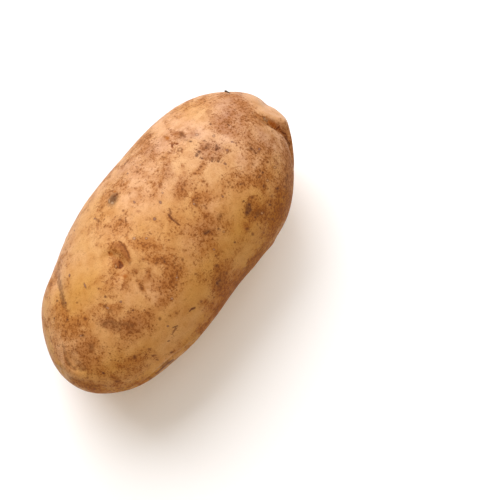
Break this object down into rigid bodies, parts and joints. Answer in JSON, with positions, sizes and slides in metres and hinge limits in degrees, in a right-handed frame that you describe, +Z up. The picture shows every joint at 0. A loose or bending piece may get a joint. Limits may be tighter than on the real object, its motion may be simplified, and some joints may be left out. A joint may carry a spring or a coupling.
{
  "type": "potato",
  "caption": "Large oblong potato with thin tan skin, shallow eyes under curved brows and a creased stem end, resting on a small flat spot.",
  "frame": {"origin": "middle of the small flat resting spot, on the ground under the tuber's centre of weight", "axes": "+X along the tuber to its stem end, +Z up from the resting spot, +Y across to the tuber's left as seen from above with the stem end ahead"},
  "size_m": [0.124, 0.0628, 0.0556],
  "materials": {
    "potato_skin": "thin golden-tan potato skin with brown russet patches and specks, semi-matte"
  },
  "bodies": {
    "root": {"potato": "potato_skin"}
  },
  "joints": []
}
